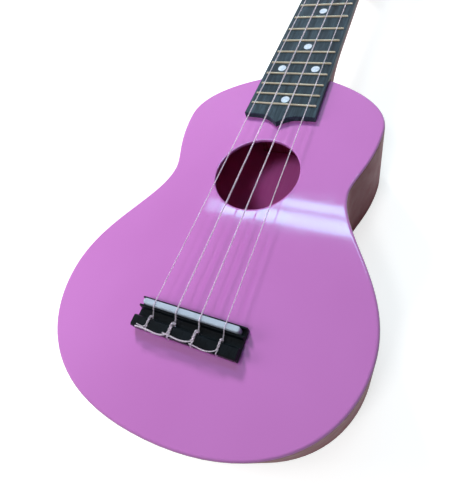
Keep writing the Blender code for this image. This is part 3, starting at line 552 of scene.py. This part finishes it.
def make_body():
    """Soundboard, back and bent sides with the rounded, lacquered rims of the real one. The
    soundboard's outer edge takes the sides' satin and their painted shade, which keeps a pale line
    of gloss off it."""
    below_top = TOP - TOP_THICKNESS
    hole = Vector((0, SOUNDHOLE_Y)) * MM
    top = slab(body_knots(), below_top, TOP, over=RIM,
               holes=[(0, SOUNDHOLE_Y, SOUNDHOLE_RADIUS, 0.6)], resolution=24)
    # The lower half of the soundboard's outer rim takes the sides' painted shade.
    paint_faces(top, lambda f: f.normal.z < 0.45 and
                (f.calc_center_median().xy - hole).length > (SOUNDHOLE_RADIUS + 1.4) * MM, 2)
    paint_faces(top, lambda f: f.calc_center_median().z < (below_top + 0.05) * MM)
    finish("lacquered_top", top, "instrument", "top", ["soundboard"],
           ("flank", "side"))
    back = slab(body_knots(), 0, BACK_THICKNESS, under=RIM, resolution=24)
    paint_faces(back, lambda f: f.calc_center_median().z > (BACK_THICKNESS - 0.05) * MM)
    finish("lacquered_back", back, "instrument", "side", ["back_plate"],
           ("inside",))
    for side, label in ((1, "treble"), (-1, "bass")):
        bm = drawn(body_knots(), 24)
        bmesh.ops.translate(bm, verts=bm.verts[:], vec=(0, 0, BACK_THICKNESS * MM))
        made = bmesh.ops.extrude_edge_only(bm, edges=bm.edges[:])["geom"]
        bmesh.ops.translate(bm, verts=[g for g in made if isinstance(g, bmesh.types.BMVert)],
                            vec=(0, 0, (below_top - BACK_THICKNESS) * MM))
        bmesh.ops.recalc_face_normals(bm, faces=bm.faces[:])
        outward = sum(f.normal.xy.dot(f.calc_center_median().xy) > 0 for f in bm.faces)
        if outward < len(bm.faces) / 2:
            bmesh.ops.reverse_faces(bm, faces=bm.faces[:])
        bmesh.ops.solidify(bm, geom=bm.faces[:], thickness=SIDE_THICKNESS * MM)
        bmesh.ops.bisect_plane(bm, geom=bm.verts[:] + bm.edges[:] + bm.faces[:], dist=1e-7,
                               plane_co=(0, 0, 0), plane_no=(-side, 0, 0), clear_outer=True)
        bmesh.ops.holes_fill(bm, edges=[e for e in bm.edges if e.is_boundary])
        bmesh.ops.recalc_face_normals(bm, faces=bm.faces[:])
        # The faces that look towards a point amid the body are the side's inner ones
        heart = Vector((0, 40 * MM, 0))
        paint_faces(bm, lambda f: f.normal.xy.dot((f.calc_center_median() - heart).xy) < 0)
        finish(f"bent_side_{label}", bm, "instrument", "side",
               [f"side_{label}"], ("flank",))
    for node, solid in NODES.items():
        for kind in ("lining", "block", "brace"):
            if kind in node:
                solid.data.materials.clear()
                solid.data.materials.append(FINISH[kind])


# Neck, fingerboard, frets and nut

def string_x(index, spacing=SADDLE_SPACING):
    """Where a string crosses, at the saddle or, with the nut's spacing, at the nut."""
    return (index - (len(STRINGS) - 1) / 2) * spacing


def board_half(y):
    """Half width of the fingerboard."""
    share = (SCALE - y) / (SCALE - BOARD_END_Y)
    return NUT_HALF + share * (BOARD_END_HALF - NUT_HALF)


def make_board():
    """Fingerboard with its pointed end, and the dots let into it."""
    top_y = SCALE - GLUE
    tip = 6.3
    half = [((board_half(top_y), top_y), (0, 0), (0, 0)),
            ((BOARD_END_HALF, BOARD_END_Y), (0, 0), (-15.2, 0)),
            ((0, BOARD_END_Y - tip), (8, tip), (-8, tip))]
    bm = slab(mirrored(half), TOP, BOARD_TOP, over=0.35, resolution=16, steps=3)
    finish("fingerboard_blank", bm, "instrument", "board", ["fingerboard"])
    for number, (x, y) in enumerate(DOTS, 1):
        bm = bmesh.new()
        bmesh.ops.create_cone(bm, cap_ends=True, segments=36, radius1=DOT_RADIUS * MM,
                              radius2=DOT_RADIUS * MM, depth=DOT_THICKNESS * MM)
        bmesh.ops.translate(bm, verts=bm.verts[:],
                            vec=Vector((x, y, BOARD_TOP - 0.2)) * MM)
        eased(bm, 0.06)
        finish(f"position_dot_{number}", bm, "instrument", "pearl")


def make_frets():
    """Frets: a domed crown, dressed over at 35 degrees at both ends. It is drawn narrower than
    the 1.6 mm solid, as thin as the photo's bright lines."""
    for number in range(1, FRETS + 1):
        y = SCALE * 2 ** (-number / 12)
        half = board_half(y) - FRET_INSET
        bm = bmesh.new()
        bmesh.ops.create_cone(bm, cap_ends=True, segments=32, radius1=FRET_CROWN_HALF * MM,
                              radius2=FRET_CROWN_HALF * MM, depth=2 * half * MM)
        bmesh.ops.rotate(bm, verts=bm.verts[:], matrix=Matrix.Rotation(math.pi / 2, 3, "Y"))
        bmesh.ops.scale(bm, verts=bm.verts[:], vec=(1, 1, FRET_CROWN_HEIGHT / FRET_CROWN_HALF))
        for point, way in (((0, 0, 0), (0, 0, -1)), ((half, 0, 0.25), (1, 0, 0.7)),
                           ((-half, 0, 0.25), (-1, 0, 0.7))):
            cut = bmesh.ops.bisect_plane(bm, geom=bm.verts[:] + bm.edges[:] + bm.faces[:],
                                         plane_co=Vector(point) * MM, plane_no=way,
                                         clear_outer=True)["geom_cut"]
            bmesh.ops.contextual_create(bm, geom=[g for g in cut
                                                  if isinstance(g, bmesh.types.BMEdge)])
        bmesh.ops.translate(bm, verts=bm.verts[:], vec=Vector((0, y, BOARD_TOP - 0.05)) * MM)
        finish(f"fret_wire_{number:02d}", bm, "instrument", "fret",
               [f"fret_{number:02d}"], sharp=50)


def neck_ring(bm, y, top, depth, half, squareness):
    """One slice of the neck, flat on top and round underneath."""
    made = bmesh.ops.create_circle(bm, segments=48, radius=1.0)["verts"]
    for vert in made:
        across, down = vert.co.x, vert.co.y
        x = half * math.copysign(abs(across) ** squareness, across)
        z = top - (depth * down ** 0.85 if down > 1e-6 else 0)
        vert.co = Vector((x, y, z)) * MM
    return list({e for v in made for e in v.link_edges})


def make_neck():
    """Neck with its heel and the tilted headstock. The neck's slices run on inside the headstock
    for the length of join."""
    shoulder = 344.3
    join = 15.0
    bm = bmesh.new()
    rings = []
    for i in range(25):
        y = HEEL_Y + (HEEL_END_Y - HEEL_Y) * i / 24
        t = max(0.0, (y - HEEL_END_Y + HEEL_ROUND) / HEEL_ROUND)
        fall = 1 - math.sqrt(max(0.0, 1 - (1 - t) ** 2))
        rings.append(neck_ring(bm, y, TOP, NECK_DEPTH + HEEL_DROP * fall, board_half(y),
                               0.8 + 0.9 * fall))
    for i in range(1, 9):
        y = HEEL_END_Y + (shoulder - HEEL_END_Y) * i / 8
        t = (y - HEEL_END_Y) / (NUT_BACK_Y - HEEL_END_Y)
        rings.append(neck_ring(bm, y, TOP, NECK_DEPTH - NECK_TAPER * t, board_half(y), 0.8))
    rings.append(neck_ring(bm, NUT_BACK_Y, TOP, NECK_DEPTH - NECK_TAPER, NUT_HALF, 0.78))
    root = NUT_HALF - 0.2
    for i in range(1, 13):
        run = join * i / 12
        under = HEAD_THICKNESS / math.cos(TILT) + 1.5 * (1 - i / 12) ** 2
        rings.append(neck_ring(bm, HEAD_Y + run, TOP - run * math.tan(TILT) - 0.2, under - 0.4,
                               root, 0.78 - 0.18 * i / 12))
    for a, b in zip(rings, rings[1:]):
        bmesh.ops.bridge_loops(bm, edges=a + b)
    for ring in (rings[0], rings[-1]):
        bmesh.ops.contextual_create(bm, geom=ring)
    bmesh.ops.recalc_face_normals(bm, faces=bm.faces[:])
    half = [((root, 0), (0, 0), (0.2, 9)), ((27.5, 20), (0, -11), (0, 25)),
            ((30.5, 88), (0, -22), (0, 7)), ((19.5, 97), (6, 0), (-6.5, 0)),
            ((0, 106), (9, 0), (-9, 0))]
    head = slab(mirrored(half), -HEAD_THICKNESS, 0, under=1.2, over=1.2, resolution=16)
    bits = bmesh.new()
    for _name, x, v, _side in MACHINES:
        bmesh.ops.create_cone(bits, cap_ends=True, segments=64, radius1=POST_BORE_RADIUS * MM,
                              radius2=POST_BORE_RADIUS * MM, depth=(HEAD_THICKNESS + 4) * MM,
                              matrix=Matrix.Translation(Vector((x, v, -HEAD_THICKNESS / 2)) * MM))
    head = bored(head, bits)
    head.transform(HEAD)
    joined = bpy.data.meshes.new("head")
    head.to_mesh(joined)
    head.free()
    bm.from_mesh(joined)
    bpy.data.meshes.remove(joined)
    finish("neck_and_head", bm, "instrument", "neck", ["neck"], turn=False)


def make_small_parts():
    """Nut, saddle and bridge. Nut and bridge come down onto the wood over the glue line."""
    nut = copied("nut")
    push(nut, 2, TOP + GLUE, TOP)
    push(nut, 1, SCALE, SCALE - 0.28)
    finish("nut_bar", eased(nut, 0.35, 3), "instrument", "bone", ["nut"])

    corner = 1.5
    arc = 0.552 * corner
    edge = SADDLE_THICKNESS / 2
    half = [((SADDLE_HALF - corner, edge), (0, 0), (arc, 0)),
            ((SADDLE_HALF, edge - corner), (0, arc), (0, 0)),
            ((SADDLE_HALF, corner - edge), (0, 0), (0, -arc)),
            ((SADDLE_HALF - corner, -edge), (arc, 0), (0, 0))]
    saddle = slab(mirrored(half), SADDLE_FOOT, SADDLE_TOP, over=0.75, resolution=6, hem=0.1)
    finish("saddle_bar", saddle, "instrument", "bone", ["saddle"])

    bridge = copied("bridge")
    push(bridge, 2, TOP + GLUE, TOP)
    holes = [((string_x(i), y, TIE_HOLE_Z), 1.1) for i in range(len(STRINGS))
             for y in (TIE_FRONT_Y, TIE_REAR_Y)]
    finish("tie_bridge", eased(bridge, 0.22, 2, 25, holes), "instrument", "bridge",
           ["bridge"])


# Tuning machines

def screw(name, place, radius, height, body):
    """A domed screw head with a cross recess, on the plane of its place."""
    bm = bmesh.new()
    bmesh.ops.create_cone(bm, cap_ends=True, segments=24, radius1=radius * MM,
                          radius2=radius * MM, depth=height * MM)
    bmesh.ops.translate(bm, verts=bm.verts[:], vec=(0, 0, height / 2 * MM))
    rim = [e for e in bm.edges if all(v.co.z > height * 0.9 * MM for v in e.verts)]
    bmesh.ops.bevel(bm, geom=rim, offset=height * 0.6 * MM, segments=4, profile=0.5,
                    affect="EDGES", material=-1)
    cap = max(bm.faces, key=lambda f: f.calc_center_median().z)
    bmesh.ops.inset_region(bm, faces=[cap], thickness=radius * 0.12 * MM)
    bmesh.ops.inset_individual(bm, faces=[cap], thickness=radius * 0.1 * MM, depth=0)
    for vert in cap.verts:
        turn = math.atan2(vert.co.y, vert.co.x)
        arm = 0.45 + 0.55 * abs(math.cos(2 * turn)) ** 3
        vert.co.x *= arm
        vert.co.y *= arm
    bmesh.ops.inset_individual(bm, faces=[cap], thickness=0.02 * radius * MM,
                               depth=-height * 0.45 * MM)
    bm.transform(place)
    finish(name, bm, body, "screw", turn=False)


def make_machines():
    """Four open tuning machines: plate, worm and button, post and wheel, ferrule and screws."""
    for name, x, v, side in MACHINES:
        knob, post = f"knob_{name}", f"post_{name}"
        place = HEAD @ Matrix.Translation(Vector((x, v, 0)) * MM)
        plate = copied(f"tuner_plate_{name}", place)
        push(plate, 2, -HEAD_THICKNESS - GLUE, -HEAD_THICKNESS)
        eased(plate, 0.18, 2, 50).transform(place)
        finish(f"machine_plate_{name}", plate, "instrument", "chrome",
               [f"tuner_plate_{name}"])
        finish(f"machine_worm_{name}", copied(f"tuner_worm_{name}"), knob, "chrome",
               [f"tuner_worm_{name}"], sharp=30)
        finish(f"machine_wheel_{name}", eased(copied(f"tuner_wheel_{name}"), 0.08, 1, 50), post,
               "brass", [f"tuner_wheel_{name}"])
        finish(f"machine_post_{name}", eased(copied(f"tuner_post_{name}"), 0.12, 2, 50), post,
               "chrome", [f"tuner_post_{name}"])
        ferrule = copied(f"tuner_ferrule_{name}", place)
        push(ferrule, 2, GLUE, 0.0)
        eased(ferrule, 0.2, 2, 50).transform(place)
        finish(f"machine_ferrule_{name}", ferrule, "instrument", "chrome",
               [f"tuner_ferrule_{name}"])

        button = bmesh.new()
        bmesh.ops.create_cube(button, size=2.0)
        bmesh.ops.subdivide_edges(button, edges=button.edges[:], cuts=11, use_grid_fill=True)
        for vert in button.verts:
            out = Vector([abs(c) ** BUTTON_SQUARENESS for c in vert.co])
            vert.co = vert.co / (out.x + out.y + out.z) ** (1 / BUTTON_SQUARENESS)
        bmesh.ops.scale(button, verts=button.verts[:], vec=Vector(BUTTON_HALF) * MM)
        for vert in button.verts:
            waist = 1 - 0.12 * max(0.0, -side * vert.co.x / (BUTTON_HALF[0] * MM)) ** 2
            vert.co.y *= waist
            vert.co.z *= waist
        seat = Vector((side * BUTTON_X, v - WORM_OFFSET, -WORM_DEPTH))
        button.transform(HEAD @ Matrix.Translation(seat * MM))
        finish(f"machine_button_{name}", button, knob, "button",
               [f"tuner_button_{name}"])

        under = place @ Matrix.Rotation(math.pi, 4, "X")
        for number, across in enumerate((-7.2, 7.2), 1):
            seat = under @ Matrix.Translation(Vector((across, -5.6, PLATE_DEPTH)) * MM)
            screw(f"plate_screw_{name}_{number}", seat, 1.7, 0.9, "instrument")
        seat = under @ Matrix.Translation((0, 0, WHEEL_DEPTH * MM))
        screw(f"wheel_screw_{name}", seat, 1.9, 1.0, post)


# Strings

def tie_run(x, r, reach, lift, bow):
    """From the cut end of the tail along the tie block's rear edge, up the twist to the knot, back
    down the twist, over the edge and through the hole, then up to the saddle."""
    top = TIE_TOP + r + 0.03
    hole = TIE_HOLE_Z
    rear = TIE_REAR_Y - r - 0.05
    shelf = TIE_REAR_Y + 0.7
    pair = r + 0.04
    far = min(reach, SADDLE_SPACING)
    run = [(x - reach, shelf + lift * 1.6, top + 0.25)]
    if reach > far:
        run += [(x - reach + 1.5, shelf - 0.05 + lift, top + 0.1),
                (x - far, shelf - 0.05 + lift, top)]
    run += [(x - far * 0.55, shelf - 0.1 + lift - bow, top),
            (x - far * 0.28, shelf + lift - bow * 0.7, top),
            (x - pair * 2.6, shelf + 0.65 + lift * 0.5, top + 0.1)]
    turns = 1.25
    steps = 16
    start, crown = TIE_REAR_Y + 2.0, TIE_FRONT_Y - 0.3
    for i in range(steps + 1):
        angle = math.pi * (1 - 2 * turns * i / steps)
        run.append((x + pair * math.cos(angle), start + (crown - start) * i / steps,
                    top + pair * (0.9 + 0.9 * math.sin(angle))))
    end = math.pi * (1 - 2 * turns)
    ball = Vector((x, TIE_FRONT_Y + 0.9, TIE_TOP - 0.5))
    wide = 2 * r + 0.12
    for i in range(19):
        turn = end + 2 * math.pi * 1.5 * i / 18
        way = Vector((math.cos(turn), -0.55 * math.sin(turn), math.sin(turn) * 0.85))
        run.append(ball + way * wide + Vector((0, 0.55, -0.5)) * (i / 18 - 0.5) * 2 * r)
    for i in range(steps + 1):
        angle = math.pi * (1 - 2 * turns * (1 - i / steps)) + math.pi
        run.append((x + pair * math.cos(angle), crown + (start - crown) * i / steps,
                    top + pair * (0.9 + 0.9 * math.sin(angle))))
    saddle_edge = 0.18 - SADDLE_THICKNESS / 2
    run += [(x + pair * 0.6, TIE_REAR_Y + 1.0, top + r), (x, rear + 0.45, top + 0.1),
            (x, rear, TIE_TOP - 0.7), (x, rear - 0.1, hole + 0.9), (x, rear + 0.4, hole),
            (x, TIE_REAR_Y + 1.2, hole), (x, TIE_FRONT_Y - 0.7, hole),
            (x, TIE_FRONT_Y + 0.3, hole + 0.1), (x, TIE_FRONT_Y + 1.5, hole + 0.9),
            (x, TIE_FRONT_Y + 3.7, TIE_TOP - 0.1),
            (x, saddle_edge - 0.7 * r, SADDLE_TOP - 0.18 + 0.7 * r)]
    return flowing(run)


def post_run(x, v, side, r):
    """Two turns on the post, then through its cross hole, in the head's frame."""
    wrap = POST_WAIST_RADIUS + r + 0.06
    pitch = 2 * r + TURN_GAP
    hole = POST_HOLE_HEIGHT
    rise = hole - pitch * (TURNS + 0.5)
    points = []
    for i in range(TURNS * TURN_POINTS - 2):
        angle = 2 * math.pi * i / TURN_POINTS
        points.append((x - side * wrap * math.cos(angle), v + wrap * math.sin(angle),
                       rise + pitch * i / TURN_POINTS))
    points += [(x - side * (wrap - 0.05), v - 0.35, hole - 0.2),
               (x - side * POST_WAIST_RADIUS, v - 0.05, hole), (x - side * 1.4, v, hole),
               (x + side * 3.9, v, hole)]
    return [tuple(HEAD @ (Vector(p) * MM) / MM) for p in points], rise, pitch


def make_strings():
    """Nylon strings, tied at the bridge and wound on their posts."""
    for index, (name, gauge, reach, lift, bow) in enumerate(STRINGS):
        r = gauge / 2
        x = string_x(index)
        nut_x = string_x(index, NUT_SPACING)
        _name, post_x, v, side = MACHINES[index]
        over = SADDLE_TOP + r
        run = tie_run(x, r, reach, lift, bow)
        run += [(x, -0.8, over), (x, 0.5, over + 0.02)]
        run += [(nut_x, SCALE, NUT_TOP + r), (nut_x, NUT_BACK_Y - 0.1, NUT_TOP + r)]
        wound, rise, pitch = post_run(post_x, v, side, r)
        line = finish(f"string_line_{name}", tube(run + wound, r), None, "nylon",
                      [f"string_{name}"], sharp=60)
        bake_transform(line)


# Studio

def add_light(name, place, aim, size, power, colour="#FFFFFF", glossy=False):
    """A rectangular lamp. Only the window strips show in the gloss."""
    lamp = bpy.data.lights.new(name, "AREA")
    lamp.shape = "RECTANGLE"
    lamp.size, lamp.size_y = size
    lamp.energy = power
    lamp.color = linear(colour)[:3]
    holder = bpy.data.objects.new(name, lamp)
    bpy.context.scene.collection.objects.link(holder)
    holder.location = place
    way = Vector(aim) - Vector(place)
    holder.rotation_euler = way.to_track_quat("-Z", "Y").to_euler()
    holder.visible_glossy = glossy


def seen_directly(tree):
    """A tree's light path, and 1 where the camera, a reflection or a clear thread looks at it,
    0 where it only throws light."""
    path = put(tree, "LightPath")
    seen = put(tree, "Math", None, {0: path.outputs["Is Camera Ray"],
                                    1: path.outputs["Is Glossy Ray"]}, operation="MAXIMUM")
    seen = put(tree, "Math", None, {0: seen.outputs[0],
                                    1: path.outputs["Is Transmission Ray"]}, operation="MAXIMUM")
    return path, seen.outputs[0]


def make_studio():
    """Camera of the photo, white floor with a painted contact shadow, soft light and the two window
    strips. The camera was solved from the frets, the saddle and the body's outline."""
    camera = bpy.data.cameras.new("camera")
    holder = bpy.data.objects.new("camera", camera)
    bpy.context.scene.collection.objects.link(holder)
    holder.matrix_world = Matrix(((0.9009582, -0.2154570, 0.3766332, 0.0855937),
                                  (0.3541255, 0.8667046, -0.3513093, -0.0345124),
                                  (-0.2507377, 0.4498904, 0.8571635, 0.2252578),
                                  (0, 0, 0, 1)))
    camera.sensor_width = 36.0
    camera.lens = 27.5
    camera.shift_x = -0.01361
    camera.shift_y = 0.0208
    camera.clip_start = 0.01
    bpy.context.scene.camera = holder

    bm = bmesh.new()
    bmesh.ops.create_grid(bm, x_segments=4, y_segments=4, size=3.0)
    bmesh.ops.translate(bm, verts=bm.verts[:], vec=(0, 0, -0.0004))
    material, tree, shader = blank("white_paper", base_color=linear("#BCBCBC"), roughness=0.9)
    path, seen = seen_directly(tree)
    glow = put(tree, "Emission")
    # The glow fades within 12 mm of the instrument by ambient occlusion: a painted contact shadow,
    # faint for the camera and deep in reflections, so the sides reflect a dark floor.
    near = put(tree, "AmbientOcclusion", {"Distance": 0.012}, samples=8)
    least = put(tree, "Math", {1: 0.62, 2: 0.1}, {0: path.outputs["Is Camera Ray"]},
                operation="MULTIPLY_ADD")
    glow_with_painted_shadow = put(tree, "MapRange", {"From Min": 0.55, "From Max": 0.95, "To Max": 0.8},
                     {"Value": near.outputs["AO"], "To Min": least.outputs[0]})
    level = put(tree, "Math", None, {0: seen, 1: glow_with_painted_shadow.outputs["Result"]},
                operation="MULTIPLY")
    tree.links.new(level.outputs[0], glow.inputs["Strength"])
    both = put(tree, "AddShader", None, {0: shader.outputs["BSDF"], 1: glow.outputs["Emission"]})
    tree.links.new(both.outputs["Shader"], tree.nodes["Material Output"].inputs["Surface"])
    FINISH["floor"] = material
    floor = finish("floor", bm, None, "floor", turn=False)

    world = bpy.data.worlds.new("studio")
    bpy.context.scene.world = world
    world.use_nodes = True
    tree = world.node_tree
    _path, seen = seen_directly(tree)
    level = put(tree, "MapRange", {"To Min": 0.07, "To Max": 1.0}, {"Value": seen})
    backdrop = tree.nodes["Background"]
    backdrop.inputs["Color"].default_value = linear("#FFFFFF")
    tree.links.new(level.outputs["Result"], backdrop.inputs["Strength"])

    # Lamps and strips are in metres. A strip is where along Y it hangs, its width, its left and
    # right end and its brightness in the gloss
    middle = (0, 0.06, 0.05)
    ceiling = 1.052
    add_light("left_fill", (-0.38, -0.11, 0.22), middle, (0.25, 0.25), 1.05)
    add_light("window_fill", (-0.38, 0.58, 0.51), middle, (0.14, 0.14), 5.3)
    add_light("front_fill", (-0.12, -0.44, 1.0), middle, (0.2, 0.2), 3.2)
    strips = ((0.654, 0.058, -0.64, -0.57, 7.0), (0.654, 0.058, -0.57, 0.25, 16.0),
              (0.721, 0.037, -0.44, -0.38, 7.0), (0.721, 0.037, -0.38, 0.25, 16.0))
    for number, (y, wide, left, right, level) in enumerate(strips, 1):
        along, across = (left + right) / 2, right - left
        add_light(f"window_strip_{number}", (along, y, ceiling), (along, y, 0), (across, wide),
                  level * math.pi * across * wide, "#A4E8FF", True)


make_body()
make_board()
make_frets()
make_neck()
make_small_parts()
make_machines()
make_strings()
make_studio()
bpy.context.scene.view_settings.view_transform = "Standard"
